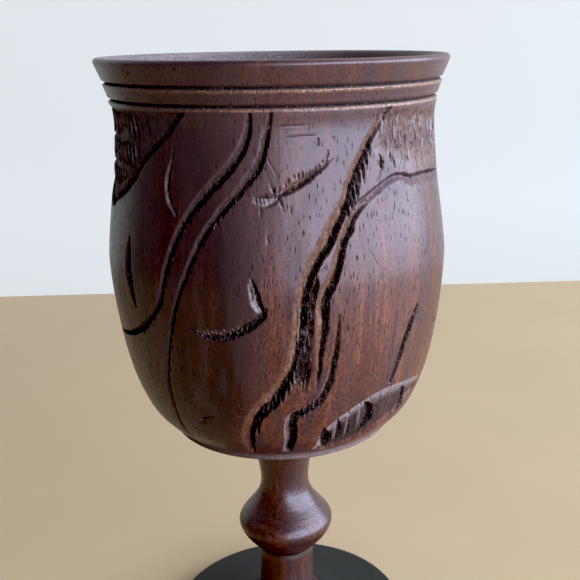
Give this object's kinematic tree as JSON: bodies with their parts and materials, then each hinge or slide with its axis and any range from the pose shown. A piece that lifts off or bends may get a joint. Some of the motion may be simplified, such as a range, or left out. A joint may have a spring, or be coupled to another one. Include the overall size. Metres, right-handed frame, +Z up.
{
  "type": "communion chalice",
  "caption": "Turned hardwood communion chalice: flared lip over a carved cup, baluster stem with a knop, and a black disc foot.",
  "frame": {"origin": "middle of the base felt's underside, on the table", "axes": "+Z up along the turning axis to the rim, -Y towards the carved front"},
  "size_m": [0.081, 0.081, 0.154],
  "materials": {
    "bowl_wood": "waxed satin, carved and turned dark red-brown hardwood with open pores",
    "stem_wood": "waxed satin, turned dark red-brown hardwood",
    "foot_wood": "ebonised, low satin black",
    "wedge_wood": "bare pale hardwood",
    "base_felt": "dark green baize"
  },
  "bodies": {
    "root": {"bowl": "bowl_wood", "stem": "stem_wood", "foot": "foot_wood", "foot_wedge": "wedge_wood", "base_felt": "base_felt"}
  },
  "joints": []
}
